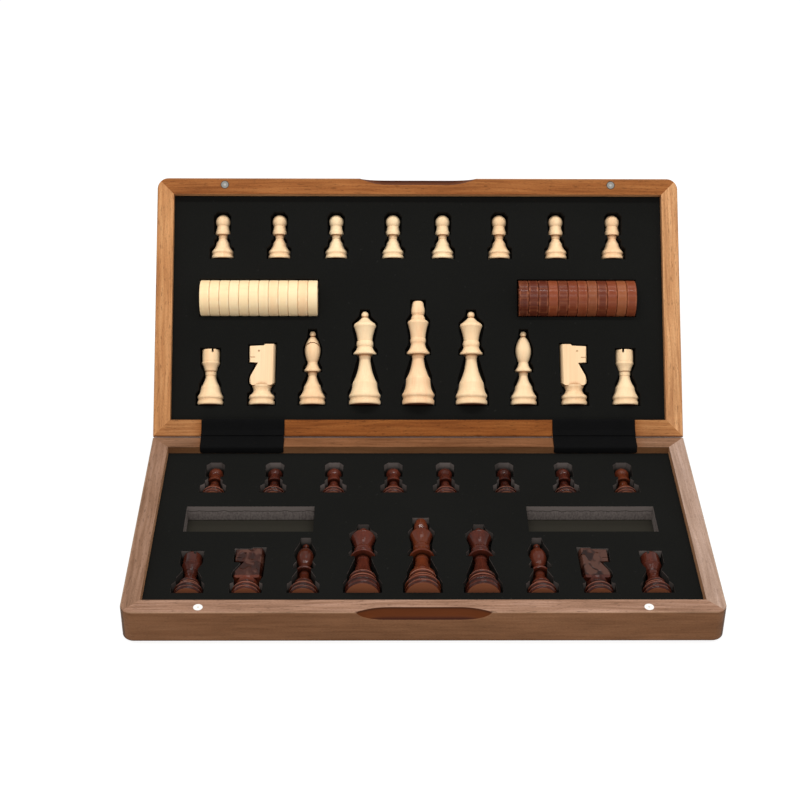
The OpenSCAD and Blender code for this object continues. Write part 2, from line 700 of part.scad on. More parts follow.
module lid_front_rail() color(walnut) in_lid() fold_first() free_rail();
module lid_back_rail() color(walnut) in_lid() fold_first() fold_rail();
module lid_left_rail() color(walnut) in_lid() fold_first() side_rail();
module lid_right_rail() color(walnut) in_lid() fold_first() mirror([1, 0, 0]) side_rail();
module lid_panel() color(walnut) in_lid() fold_first() mirror([1, 0, 0]) board_panel();
module lid_pale_squares() color(maple) in_lid() fold_first() mirror([1, 0, 0])
    pale_squares(inlay_gap, inlay_t);
module lid_foam() color(foam_black) in_lid()
    foam(lid_row_v, lid_pawn_v, lid_slot_v, foam_z - floor_z + past);
module lid_magnets() color(steel_grey) in_lid() fold_first() magnet_pair();
module lid_hinge_leaves() color(brass_yellow) in_lid() fold_first() both_sides(hinge_x) leaf(false);
module lid_hinge_screws() color(brass_yellow) in_lid() fold_first() both_sides(hinge_x)
    at_screws() screw_shape(screw_d, screw_head_d, screw_l);
module lid_hinge_felt() color(felt_black) in_lid() fold_first() both_sides(hinge_x) felt_cover();

module light_draughts() color(boxwood) in_lid() draught_row(-slot_x);
module dark_draughts() color(rosewood) in_lid() draught_row(slot_x);

module light_man(x, lie) color(boxwood) in_lid() laid(x, lid_row_v, lie) children();
module dark_man(x, lie) color(rosewood) in_base() laid(x, base_row_v, lie) children();
module light_pawn(i) color(boxwood) in_lid() laid(pawn_place(i), lid_pawn_v, pawn_lie) pawn();
module dark_pawn(i) color(rosewood) in_base() laid(pawn_place(i), base_pawn_v, pawn_lie) pawn();

// Place of the pawns, counted from the left
function pawn_place(i) = (i < 4 ? -1 : 1)*(pawn_x + pawn_pitch*(i < 4 ? 3 - i : i - 4));

base_front_rail();
base_back_rail();
base_left_rail();
base_right_rail();
base_panel();
base_pale_squares();
base_foam();
base_magnets();
base_hinge_leaves();
base_hinge_screws();
hinge_pins();
base_hinge_felt();
lid_front_rail();
lid_back_rail();
lid_left_rail();
lid_right_rail();
lid_panel();
lid_pale_squares();
lid_foam();
lid_magnets();
lid_hinge_leaves();
lid_hinge_screws();
lid_hinge_felt();
light_draughts();
dark_draughts();
light_man(0, king_lie) king();  // light_king
light_man(-queen_x, queen_lie) queen();  // light_queen_left
light_man(queen_x, queen_lie) queen();  // light_queen_right
light_man(-bishop_x, bishop_lie) rotate([0, 0, -90]) bishop();  // light_bishop_left
light_man(bishop_x, bishop_lie) rotate([0, 0, 90]) bishop();  // light_bishop_right
light_man(-knight_x, knight_lie) mirror([1, 0, 0]) knight();  // light_knight_left
light_man(knight_x, knight_lie) knight();  // light_knight_right
light_man(-rook_x, rook_lie) rotate([0, 0, rook_turn]) rook();  // light_rook_left
light_man(rook_x, rook_lie) rotate([0, 0, -rook_turn]) rook();  // light_rook_right
dark_man(0, king_lie) king();  // dark_king
dark_man(-queen_x, queen_lie) queen();  // dark_queen_left
dark_man(queen_x, queen_lie) queen();  // dark_queen_right
dark_man(-bishop_x, bishop_lie) rotate([0, 0, -90]) bishop();  // dark_bishop_left
dark_man(bishop_x, bishop_lie) rotate([0, 0, 90]) bishop();  // dark_bishop_right
dark_man(-knight_x, knight_lie) mirror([1, 0, 0]) knight();  // dark_knight_left
dark_man(knight_x, knight_lie) knight();  // dark_knight_right
dark_man(-rook_x, rook_lie) rotate([0, 0, rook_turn]) rook();  // dark_rook_left
dark_man(rook_x, rook_lie) rotate([0, 0, -rook_turn]) rook();  // dark_rook_right
for (i = [0 : 7]) {
    light_pawn(i);
    dark_pawn(i);
}
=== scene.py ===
"""Dresses the folding games box: lacquered walnut, flocked foam, felt straps, chessmen and draughts."""

import json
import logging
import math
from dataclasses import dataclass, field
from enum import Enum
from typing import Mapping, Optional, Sequence, Union

import bmesh
import bpy
from mathutils import Matrix, Vector

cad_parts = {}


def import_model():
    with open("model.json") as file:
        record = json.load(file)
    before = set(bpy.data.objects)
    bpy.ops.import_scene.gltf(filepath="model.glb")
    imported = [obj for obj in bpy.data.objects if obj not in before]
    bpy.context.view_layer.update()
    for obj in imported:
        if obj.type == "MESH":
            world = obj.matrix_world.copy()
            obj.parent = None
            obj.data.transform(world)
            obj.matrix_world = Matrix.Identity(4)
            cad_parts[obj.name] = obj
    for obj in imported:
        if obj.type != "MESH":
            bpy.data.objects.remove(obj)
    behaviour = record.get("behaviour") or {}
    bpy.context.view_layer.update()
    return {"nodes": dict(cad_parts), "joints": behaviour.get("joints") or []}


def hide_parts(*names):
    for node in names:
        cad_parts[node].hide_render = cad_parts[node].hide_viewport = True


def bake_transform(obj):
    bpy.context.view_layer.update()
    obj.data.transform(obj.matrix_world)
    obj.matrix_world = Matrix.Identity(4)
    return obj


LOG = logging.getLogger("games_box")
MM = 0.001
HALF_DEPTH = 190 * MM
HALF_H = 24 * MM
RAIL_T = 12 * MM
ROW_X = 115.4 * MM
PIN_OFF = 0.2 * MM  # from the hinge's axis to each half's back, and to its rim

Colour = tuple[float, float, float]
Number = Union[int, float]
Span = tuple[float, float]
Place = tuple[float, float, float]


def shaded(colour: Colour, share: float) -> Colour:
    """A colour made lighter or darker by a share."""
    return tuple(channel * share for channel in colour)


# ------------------------------------------------------------ shader graphs


class Wire:
    """A value inside a material: arithmetic on it adds Math nodes."""

    def __init__(self, graph: "Graph", socket: bpy.types.NodeSocket) -> None:
        """Wraps one output socket of the graph."""
        self.graph = graph
        self.socket = socket

    def __add__(self, other: "Term") -> "Wire":
        """Sum of two values."""
        return self.graph.maths("ADD", self, other)

    __radd__ = __add__

    def __sub__(self, other: "Term") -> "Wire":
        """This value less the other."""
        return self.graph.maths("SUBTRACT", self, other)

    def __rsub__(self, other: "Term") -> "Wire":
        """The other value less this one."""
        return self.graph.maths("SUBTRACT", other, self)

    def __mul__(self, other: "Term") -> "Wire":
        """Product of two values."""
        return self.graph.maths("MULTIPLY", self, other)

    __rmul__ = __mul__

    def __truediv__(self, other: "Term") -> "Wire":
        """This value over the other."""
        return self.graph.maths("DIVIDE", self, other)

    def __abs__(self) -> "Wire":
        """This value without its sign."""
        return self.graph.maths("ABSOLUTE", self)

    def __gt__(self, other: "Term") -> "Wire":
        """1 where this value is the larger, else 0."""
        return self.graph.maths("GREATER_THAN", self, other)

    def __lt__(self, other: "Term") -> "Wire":
        """1 where this value is the smaller, else 0."""
        return self.graph.maths("LESS_THAN", self, other)


Term = Union[Wire, Number]


class Graph:
    """The node tree of a material or a world, built from Python expressions."""

    def __init__(self, name: str, world: bool = False) -> None:
        """Starts an empty material or world.

        Args:
            name: what it is called.
            world: True for a world, else it is a material.
        """
        self.owner = (bpy.data.worlds if world else bpy.data.materials).new(name)
        self.owner.use_nodes = True
        self.tree = self.owner.node_tree
        self.tree.nodes.clear()
        self.end = "ShaderNodeOutputWorld" if world else "ShaderNodeOutputMaterial"

    def add(
        self,
        kind: str,
        settings: Optional[Mapping[str, object]] = None,
        inputs: Optional[Mapping[Union[int, str], object]] = None,
        output: Union[int, str] = 0,
    ) -> Wire:
        """Adds one node.

        Args:
            kind: the node's type, without the ShaderNode prefix.
            settings: properties of the node, set before its sockets. The
                setting "stops" holds a ramp's (place, colour) pairs.
            inputs: socket names or indices, with values or wires.
            output: the output that the returned wire holds.

        Returns:
            A wire from the chosen output.
        """
        node = self.tree.nodes.new("ShaderNode" + kind)
        for key, value in (settings or {}).items():
            if key == "stops":
                self._set_stops(node.color_ramp, value)
            else:
                setattr(node, key, value)
        for key, value in (inputs or {}).items():
            if isinstance(value, Wire):
                self.tree.links.new(value.socket, node.inputs[key])
            else:
                node.inputs[key].default_value = value
        return Wire(self, node.outputs[output])

    @staticmethod
    def _set_stops(ramp: bpy.types.ColorRamp, stops: Sequence[tuple[float, Colour]]) -> None:
        """Gives a colour ramp its stops."""
        while len(ramp.elements) < len(stops):
            ramp.elements.new(1.0)
        for element, (place, colour) in zip(ramp.elements, stops):
            element.position = place
            element.color = (*colour, 1.0)

    def maths(self, operation: str, a: Term, b: Term = 0.0, clamp: bool = False) -> Wire:
        """Adds a Math node on one or two values."""
        settings = {"operation": operation, "use_clamp": clamp}
        return self.add("Math", settings, dict(enumerate((a, b))))

    def clamp(self, value: Term) -> Wire:
        """The value, kept between 0 and 1."""
        return self.maths("ADD", value, 0.0, clamp=True)

    def step(self, value: Term, low: float, high: float) -> Wire:
        """A smooth step from 0 at low to 1 at high."""
        return self.add(
            "MapRange",
            {"interpolation_type": "SMOOTHSTEP"},
            {"Value": value, "From Min": low, "From Max": high},
        )

    def mix(self, factor: Term, a: Union[Wire, Colour], b: Union[Wire, Colour],
            blend: str = "MIX") -> Wire:
        """Mixes two colours.

        Args:
            factor: how much of b shows.
            a: first colour.
            b: second colour.
            blend: Blender's blend mode.

        Returns:
            The mixed colour.
        """
        settings = {"data_type": "RGBA", "blend_type": blend}
        colours = {6 + i: c if isinstance(c, Wire) else (*c, 1.0) for i, c in enumerate((a, b))}
        return self.add("Mix", settings, {0: factor, **colours}, output=2)

    def grey(self, value: Term) -> Wire:
        """A grey colour as bright as the value."""
        return self.add("CombineColor", None, {0: value, 1: value, 2: value})

    def vector(self, x: Term, y: Term, z: Term) -> Wire:
        """A vector of three values."""
        return self.add("CombineXYZ", None, {0: x, 1: y, 2: z})

    def split(self, vector: Wire) -> tuple[Wire, Wire, Wire]:
        """The three values of a vector."""
        node = self.add("SeparateXYZ", None, {0: vector}).socket.node
        return tuple(Wire(self, node.outputs[i]) for i in range(3))

    def noise(self, at: Wire, scale: float, detail: float = 2.0, distortion: float = 0.0) -> Wire:
        """Noise from 0 to 1 at a place, scale times per metre."""
        inputs = {"Vector": at, "Scale": scale, "Detail": detail, "Distortion": distortion}
        return self.add("TexNoise", None, inputs)

    def fibres(self, along: Wire, across: Wire, z: Wire, size: Span, detail: float) -> Wire:
        """Noise that is drawn out along the grain.

        Args:
            along: place along the grain.
            across: place across it.
            z: height.
            size: cycles per metre along the grain and across it.
            detail: how fine it is.

        Returns:
            From 0 to 1.
        """
        return self.noise(self.vector(along * size[0], across * size[1], z * size[1]), 1.0, detail)

    def random(self, number: Wire, seed: float) -> Wire:
        """A value from 0 to 1 that belongs to a number."""
        return self.add("TexWhiteNoise", {"noise_dimensions": "1D"}, {"W": number + seed})

    def bump(self, height: Wire, depth: float, strength: float = 1.0,
             under: Optional[Wire] = None) -> Wire:
        """Turns a height into a shading normal.

        Args:
            height: from 0 to 1.
            depth: the height's real size, in metres.
            strength: how much of it shows.
            under: a normal to add it to.

        Returns:
            The normal.
        """
        inputs = {"Height": height, "Distance": depth, "Strength": strength}
        if under is not None:
            inputs["Normal"] = under
        return self.add("Bump", None, inputs)

    def surface(self, **sockets: object) -> bpy.types.Material:
        """Ends the graph in a Principled shader.

        Args:
            **sockets: the shader's sockets, with underscores for spaces.

        Returns:
            The finished material.
        """
        inputs = {name.replace("_", " "): value for name, value in sockets.items()}
        inputs = {k: (*v, 1.0) if isinstance(v, tuple) else v for k, v in inputs.items()}
        return self.finish(self.add("BsdfPrincipled", None, inputs))

    def finish(self, shader: Wire) -> Union[bpy.types.Material, bpy.types.World]:
        """Joins a shader to the tree's output."""
        output = self.tree.nodes.new(self.end)
        self.tree.links.new(shader.socket, output.inputs["Surface"])
        return self.owner


# ------------------------------------------------------------- tray frames


@dataclass(frozen=True)
class TrayFrame:
    """Where one half of the box lies: x across, v up the half, z = 0 at its rim.

    The lean is in radians. fold_first says that v starts at the fold, as it does in the lid.
    """

    name: str
    origin: Vector
    lean: float
    fold_first: bool
    half_width: float = 190 * MM
    depth: float = HALF_DEPTH

    def place(self, x: float, v: float, z: float) -> Vector:
        """A point of the half, in the row frame."""
        return self.origin + Matrix.Rotation(self.lean, 3, "X") @ Vector((x, v, z))

    def coordinates(self, graph: Graph) -> Wire:
        """The half's own coordinates of the shaded point, as a vector."""
        turn = Matrix.Rotation(-self.lean, 3, "X")
        shift = -(turn @ self.origin)
        there = graph.add("TexCoord", None, None, output="Object")
        return graph.add(
            "Mapping",
            {"vector_type": "POINT"},
            {"Vector": there, "Rotation": (-self.lean, 0.0, 0.0), "Location": tuple(shift)},
        )

    def facing(self, graph: Graph, way: Vector) -> Wire:
        """How far the surface faces a direction of the half, 1 where it faces it squarely."""
        normal = graph.add("NewGeometry", None, None, output="Normal")
        there = tuple(Matrix.Rotation(self.lean, 3, "X") @ way)
        return graph.add("VectorMath", {"operation": "DOT_PRODUCT"}, {0: normal, 1: there},
                         output="Value")

    def from_free_edge(self, v: Wire) -> Wire:
        """Distance from the half's free edge."""
        return self.depth - v if self.fold_first else v


# ----------------------------------------------------------------- finishes


class Rail(Enum):
    """The rails of one half."""

    FRONT = "front"
    BACK = "back"
    LEFT = "left"
    RIGHT = "right"

    @property
    def lies_across(self) -> bool:
        """True for a rail along the fold or the free edge."""
        return self in (Rail.FRONT, Rail.BACK)


@dataclass(frozen=True)
class RailTintAndShade:
    """Tints of one rail's rim, outer face and inner wall: partly its lacquer's own tone and partly
    painted light and shade. A darker outer face is painted shade, and paler rims and inner walls
    are painted sheen and light.

    The arris is how strong a painted highlight runs along its outer edge, the ends tint the rim
    near the mitres, and the figure is how much the grain shows.
    """

    rim: Colour = (1.0, 1.0, 1.0)
    face: Colour = (1.0, 1.0, 1.0)
    wall: Colour = (1.0, 1.0, 1.0)
    arris: float = 0.0
    ends: Colour = (1.0, 1.0, 1.0)
    figure: float = 1.0


@dataclass(frozen=True)
class WoodFinish:
    """Open-pored wood under a thin satin lacquer.

    A span is where a change starts and ends: _z is the height over the rim, _in the distance
    from the rail's outer face and _x that from the middle. A size is in cycles per metre,
    along the grain and across it.
    """

    name: str
    pale: Colour
    mid: Colour
    deep: Colour
    scoop_top: Colour = (0.055, 0.016, 0.006)
    scoop: Colour = (0.108, 0.027, 0.006)
    scoop_low_shade: Colour = (0.026, 0.004, 0.002)
    # accent: the colour of the painted highlight along the outer arris.
    worn: Colour = (0.72, 0.52, 0.33)
    pores: float = 0.55
    streaks: float = 0.85
    roughness: float = 0.5
    specular: float = 0.06
    relief: float = 0.12 * MM
    rail_t: float = RAIL_T
    rim_z: Span = (-1.0 * MM, -0.25 * MM)
    ends_x: Span = (150 * MM, 164 * MM)
    arris_in: Span = (1.3 * MM, 0.6 * MM)
    arris_z: Span = (-1.1 * MM, -0.5 * MM)
    bottom_shade_in: Span = (1.5 * MM, 0.5 * MM)
    bottom_shade_z: Span = (-22.3 * MM, -23.5 * MM)
    scoop_x: float = 44 * MM
    scoop_in: float = 5.3 * MM
    scoop_down: float = 7.4 * MM
    scoop_top_z: Span = (-1.9 * MM, -0.4 * MM)
    scoop_low_z: Span = (-4.6 * MM, -6.2 * MM)
    wave_size: Span = (6, 30)
    tone_size: Span = (9, 55)
    streak_size: Span = (22, 520)
    fleck_size: Span = (170, 1100)
    mottle_size: Span = (45, 130)
    speck_size: Span = (700, 1500)

    def material(self, tray: TrayFrame, rail: Rail, tone: RailTintAndShade) -> bpy.types.Material:
        """Builds the wood of one rail.

        Args:
            tray: the half that the rail belongs to.
            rail: which rail it is.
            tone: the tints of its faces, with painted light and shade.

        Returns:
            The material.
        """
        g = Graph(f"{self.name}_{tray.name}_{rail.value}")
        x, v, z = g.split(tray.coordinates(g))
        edge = tray.from_free_edge(v)
        along, across = (x, v) if rail.lies_across else (v, x)
        rim = g.step(z, *self.rim_z)
        strength = (rim * 0.6 + 0.4) * tone.figure
        colour, streak, pore = self.grain(g, along, across, z, strength)
        inwards = {Rail.FRONT: edge, Rail.BACK: tray.depth - edge}.get(rail)
        if inwards is None:
            inwards = tray.half_width - abs(x)
        # Painted light and shade: the rim, outer face, inner wall and ends each get their own tint.
        wall = g.step(inwards, self.rail_t - 0.5 * MM, self.rail_t - 0.1 * MM) * (1 - rim)
        tint = g.mix(rim, tone.face, tone.rim)
        far = g.step(abs(x), *self.ends_x)
        tint = g.mix(far, tint, g.mix(1.0, tint, tone.ends, "MULTIPLY"))
        colour = g.mix(1.0, colour, g.mix(wall, tint, tone.wall), "MULTIPLY")
        # Painted highlight: a paler line along the rim's outer arris.
        arris = g.step(inwards, *self.arris_in) * g.step(z, *self.arris_z)
        colour = g.mix(arris * tone.arris, colour, self.worn)
        # Painted shade: the outer face darkens at its lowest edge.
        foot = g.step(z, *self.bottom_shade_z) * g.step(inwards, *self.bottom_shade_in)
        colour = g.mix(foot * 0.6, colour, shaded(self.deep, 0.3))
        if rail is Rail.FRONT:
            # The finger notch is coloured darker: a dark band at its top edge, a red-brown within, and
            # painted shade towards its bottom.
            scoop = self.in_scoop(g, x, edge, z)
            low = g.mix(g.step(z, *self.scoop_low_z), self.scoop, self.scoop_low_shade)
            notch_colour = g.mix(g.step(z, *self.scoop_top_z), low, self.scoop_top)
            notch_colour = g.mix(streak * 0.5, notch_colour, shaded(self.scoop, 0.5))
            colour = g.mix(scoop, colour, notch_colour)
        return g.surface(
            Base_Color=colour,
            Roughness=g.clamp(self.roughness + (streak - 0.5) * 0.25),
            Normal=g.bump(streak * 0.5 + (1 - pore) * 0.5, self.relief, 0.5),
            Specular_IOR_Level=self.specular,
        )

    def grain(self, g: Graph, along: Wire, across: Wire, z: Wire,
              strength: Wire) -> tuple[Wire, Wire, Wire]:
        """Draws the grain.

        Args:
            g: the graph to draw it in.
            along: place along the grain.
            across: place across it.
            z: height in the half.
            strength: how much of the streaks and pores shows.

        Returns:
            The colour, the streaks and the pores.
        """
        wave = g.fibres(along, across, z, self.wave_size, 2.0) * 0.012
        side = across + wave
        tone = g.fibres(along, side, z, self.tone_size, 2.0)
        streak = g.fibres(along, side, z, self.streak_size, 3.0)
        fleck = g.fibres(along, side, z, self.fleck_size, 2.0)
        pore = g.step(fleck, 0.58, 0.70)
        level = g.clamp((tone - 0.5) * 0.9 + (streak - 0.5) * strength * self.streaks * 2 + 0.5)
        stops = [(0.08, self.pale), (0.5, self.mid), (0.92, self.deep)]
        colour = g.add("ValToRGB", {"stops": stops}, {0: level})
        colour = g.mix(pore * strength * self.pores, colour, shaded(self.deep, 0.45))
        mottle = g.fibres(along, side, z, self.mottle_size, 3.0)
        speck = g.fibres(along, across, z, self.speck_size, 1.0)
        shade = g.grey(0.60 + mottle * 0.36 + speck * 0.44)
        return g.mix(1.0, colour, shade, "MULTIPLY"), streak, pore

    def in_scoop(self, g: Graph, x: Wire, edge: Wire, z: Wire) -> Wire:
        """1 inside the finger notch of the free rail, else 0."""
        span = g.step(abs(x), self.scoop_x, self.scoop_x - 3 * MM)
        shallow = g.step(z, 0.0, -0.12 * MM) * g.step(edge, 0.1 * MM, 0.35 * MM)
        deep = g.step(z, -self.scoop_down, 0.4 * MM - self.scoop_down)
        return span * shallow * g.step(edge, self.scoop_in, self.scoop_in - 0.15 * MM) * deep


@dataclass(frozen=True)
class BoardFinish:
    """Veneer of the board's squares, with broad figure; its inner side is black, painted shade."""

    name: str
    pale: Colour
    deep: Colour
    inner_shade: Colour = (0.006, 0.006, 0.0055)
    inner_shade_z: float = -21.3 * MM

    def material(self, tray: TrayFrame) -> bpy.types.Material:
        """Builds the veneer for one half."""
        g = Graph(f"{self.name}_{tray.name}")
        x, v, z = g.split(tray.coordinates(g))
        bend = g.noise(g.vector(x * 12, v * 12, z), 1.0, 2.0) * 0.02
        figure = g.noise(g.vector(x * 260 + bend * 900, v * 9, z), 1.0, 3.0)
        fibre = g.noise(g.vector(x * 1500, v * 40, z), 1.0, 2.0)
        level = g.clamp(figure * 0.75 + fibre * 0.35 - 0.05)
        colour = g.mix(g.step(level, 0.3, 0.75), self.pale, self.deep)
        return g.surface(
            # Painted shade: the panel's inner side, under the foam's pockets, is black.
            Base_Color=g.mix(g.step(z, self.inner_shade_z, self.inner_shade_z + 0.1 * MM), colour, self.inner_shade),
            Roughness=g.clamp(0.36 + fibre * 0.12),
            Normal=g.bump(fibre, 0.05 * MM, 0.4),
            Specular_IOR_Level=0.2,
        )


@dataclass(frozen=True)
class FoamFinish:
    """Dense foam with a black flocked face. Where it is cut bare it is grey, with painted shade on
    shaded walls.
    """

    name: str = "foam"
    flock: Colour = (0.0088, 0.0088, 0.0080)
    cut: Colour = (0.195, 0.165, 0.151)
    # shade: painted shade on cut walls; it also colours the dark joint between the layers.
    shade: Colour = (0.020, 0.018, 0.016)
    bottom: Colour = (0.030, 0.027, 0.021)
    face_z: float = -5.5 * MM
    slot_z: float = -17.5 * MM
    slot_x: float = ROW_X
    slot_v: float = 102 * MM
    slot_reach: float = 45 * MM
    slot_half: float = 15 * MM
    layer_z: Span = (-9.9 * MM, -9.6 * MM)
    joint_z: float = -9.75 * MM
    joint_t: Span = (0.45 * MM, 0.1 * MM)

    def material(self, tray: TrayFrame) -> bpy.types.Material:
        """Builds the foam for one half. In the lid, all below the flocked face is painted shade."""
        g = Graph(f"{self.name}_{tray.name}")
        at = tray.coordinates(g)
        x, v, z = g.split(at)
        nap = g.noise(at, 1900.0, 3.0)
        cloud = g.noise(at, 14.0, 3.0)
        lint = g.step(g.noise(at, 330.0, 1.0), 0.74, 0.80)
        flock = g.mix(cloud, shaded(self.flock, 0.85), shaded(self.flock, 1.2))
        flock = g.mix(g.clamp((nap - 0.5) * 0.9), flock, shaded(self.flock, 2.0))
        colour = g.mix(lint * 0.4, flock, shaded(self.flock, 3.0))
        face = g.step(z + (nap - 0.5) * 0.0003, self.face_z - 0.30 * MM, self.face_z - 0.12 * MM)
        # Painted shade: in the lid everything below the face takes the shade colour.
        inside = self.shade if tray.fold_first else self.bare(g, tray, x, v, z)
        colour = g.mix(face, inside, colour)
        return g.surface(
            Base_Color=colour,
            Roughness=g.clamp(0.9 + nap * 0.1),
            Normal=g.bump(nap, 0.25 * MM, 0.6),
            Specular_IOR_Level=0.02,
        )

    def bare(self, g: Graph, tray: TrayFrame, x: Wire, v: Wire, z: Wire) -> Wire:
        """Colours cut walls and slot floors. Pocket walls stay grey at the lip and far side, else
        painted shade.

        Args:
            g: the foam's graph.
            tray: the half that it lies in.
            x: its part across.
            v: its part up the half.
            z: its height.

        Returns:
            The colour.
        """
        ragged = g.noise(g.vector(x * 190, v * 190, 0.0), 1.0, 3.0)
        depth = z + (ragged - 0.5) * 0.004
        cells = g.noise(g.vector(x * 900, v * 900, z * 500), 1.0, 3.0)
        lower = g.mix(g.clamp((cells - 0.4) * 2.2), shaded(self.cut, 1.2), shaded(self.cut, 0.5))
        cut = g.mix(g.step(depth, *self.layer_z), lower, self.cut)
        joint = g.step(abs(depth - self.joint_z), *self.joint_t)
        cut = g.mix(joint * 0.75, cut, self.shade)
        low = g.step(z, self.slot_z + 0.6 * MM, self.slot_z + 0.2 * MM)
        slot = g.mix(low, cut, self.bottom)
        across = abs(abs(x) - self.slot_x)
        up = abs(v - self.slot_v)
        in_slot = (across < self.slot_reach) * (up < self.slot_half)
        blot = g.step(g.noise(g.vector(x * 16, v * 16, 0.0), 1.0, 1.0), 0.40, 0.56)
        # Painted shade: a pocket's wall keeps its grey only at its top lip and on its far side.
        far = g.step(tray.facing(g, Vector((0.0, -1.0, 0.0))), 0.25, 0.9)
        lip = g.step(z, self.face_z - 1.2 * MM, self.face_z - 0.7 * MM) * 0.8
        unshaded = g.maths("MAXIMUM", far, lip) * (blot * 0.4 + 0.6)
        pocket = g.step(z, self.face_z - 7.5 * MM, self.face_z - 3.5 * MM) * unshaded
        return g.mix(in_slot, g.mix(pocket, self.shade, self.cut), slot)


@dataclass(frozen=True)
class MenFinish:
    """Turned wood of the chessmen, its grain along their axes, with painted shade in hollows and
    grooves and painted highlights on ridges.

    foot_v and pawn_v are where the soles of the tall men and the pawns lie up the half. The
    mane is the middle and the half length of what is carved on a knight, from its sole.
    """

    name: str
    pale: Colour
    deep: Colour
    blush: Colour
    sole: Colour
    groove_shade: Colour
    ridge_highlight: Colour
    roughness: float
    gloss: float
    foot_v: float
    pawn_v: float
    turning: float
    carving: float
    pitch: float = 38.3 * MM
    pawn_pitch: float = 41.6 * MM
    pawn_margin: float = 20 * MM
    hollow_reach: float = 3.0 * MM
    knight_number: int = 3
    mane: Span = (31 * MM, 14 * MM)
    ring_pitch: float = 3.5 * MM
    ring_top: float = 12.5 * MM
    ring_depth: float = 0.6 * MM

    def material(self, tray: TrayFrame) -> bpy.types.Material:
        """Builds the men's wood for the half that they lie in. Each man has its own tone."""
        g = Graph(f"{self.name}_{tray.name}")
        x, v, z = g.split(tray.coordinates(g))
        pawns = v > self.pawn_v - self.pawn_margin
        number = g.maths("FLOOR", x / self.pitch + 0.5) * (1 - pawns)
        number = number + (g.maths("FLOOR", x / self.pawn_pitch) + 31.0) * pawns
        pick, warm = g.random(number, 0.61), g.random(number, 5.27)
        tone = g.noise(g.vector(x * 60, v * 12, z * 60), 1.0, 2.0)
        streak = g.noise(g.vector(x * 1100, v * 30, z * 1100), 1.0, 3.0)
        figure = g.noise(g.vector(x * 300 + number, v * 9, z * 300), 1.0, 2.0)
        level = (tone - 0.5) * 0.9 + (streak - 0.5) * 0.7 + (figure - 0.5) * 0.8
        level = g.clamp(level * 1.3 + (pick - 0.5) * 0.5 + 0.45)
        colour = g.mix(level, self.pale, self.deep)
        warmth = g.clamp((warm - 0.45) * 1.1) * g.clamp(figure * 1.6 - 0.3)
        colour = g.mix(warmth, colour, self.blush)
        # Painted shade: hollows and grooves are darkened by occlusion.
        occlusion_shade = g.add("AmbientOcclusion", {"samples": 6, "only_local": True},
                            {"Distance": self.hollow_reach}, output="AO")
        colour = g.mix(g.step(occlusion_shade, 1.0, 0.55), colour, self.groove_shade)
        third = abs(abs(number) - self.knight_number) < 0.5
        knight = third * (abs(v - self.foot_v - self.mane[0]) < self.mane[1])
        # On the knights, dark strokes are painted shade in the carving and lit strokes painted
        # highlights.
        strokes = g.noise(g.vector(x * 170 + v * 50, v * 120 - x * 30, 0.0), 1.0, 1.0, 0.8)
        carved = g.step(strokes, 0.52, 0.36) * knight * self.carving
        lit = g.step(strokes + (number > 0) * 0.16, 0.50, 0.68) * knight * self.carving
        colour = g.mix(carved, colour, self.groove_shade)
        colour = g.mix(lit, colour, self.ridge_highlight)
        ring = self.rings(g, v, pawns, number) * (1 - knight)
        relief = ring * self.turning - carved * 0.6
        # Painted shade in the rings' grooves and painted highlights on their ridges.
        colour = g.mix(g.step(ring, 0.42, 0.05) * self.turning, colour, self.groove_shade)
        colour = g.mix(g.step(ring, 0.88, 1.0) * self.turning, colour, self.ridge_highlight)
        facing = tray.facing(g, Vector((0.0, -1.0, 0.0)))
        flat = g.maths("MINIMUM", abs(v - self.foot_v), abs(v - self.pawn_v)) < 0.2 * MM
        sole = flat * g.step(facing, 0.95, 0.99)
        return g.surface(
            Base_Color=g.mix(sole, colour, self.sole),
            Roughness=g.clamp(self.roughness + sole * 0.5 + (streak - 0.5) * 0.12),
            Normal=g.bump(relief, self.ring_depth, 0.9, g.bump(streak, 0.05 * MM, 0.35)),
            Specular_IOR_Level=self.gloss,
        )

    def rings(self, g: Graph, v: Wire, pawns: Wire, number: Wire) -> Wire:
        """Draws the rings turned round the feet.

        Args:
            g: the men's graph.
            v: place up the half.
            pawns: 1 on the pawns.
            number: the man's number in its row, 0 for the king.

        Returns:
            From 0 in the grooves to 1 on the ridges, and 0.5 above the foot.
        """
        height = v - self.foot_v - pawns * (self.pawn_v - self.foot_v)
        tall = (abs(number) < 1.5) * (1 - pawns)
        top = self.ring_top + tall * 4.5 * MM - pawns * 3.0 * MM
        pitch = self.ring_pitch + tall * 0.8 * MM - pawns * 0.5 * MM
        wave = g.maths("SINE", height / pitch * (2 * math.pi) - 3.1)
        foot = (height < top) * (height > 0.3 * MM)
        return wave * foot * 0.5 + 0.5


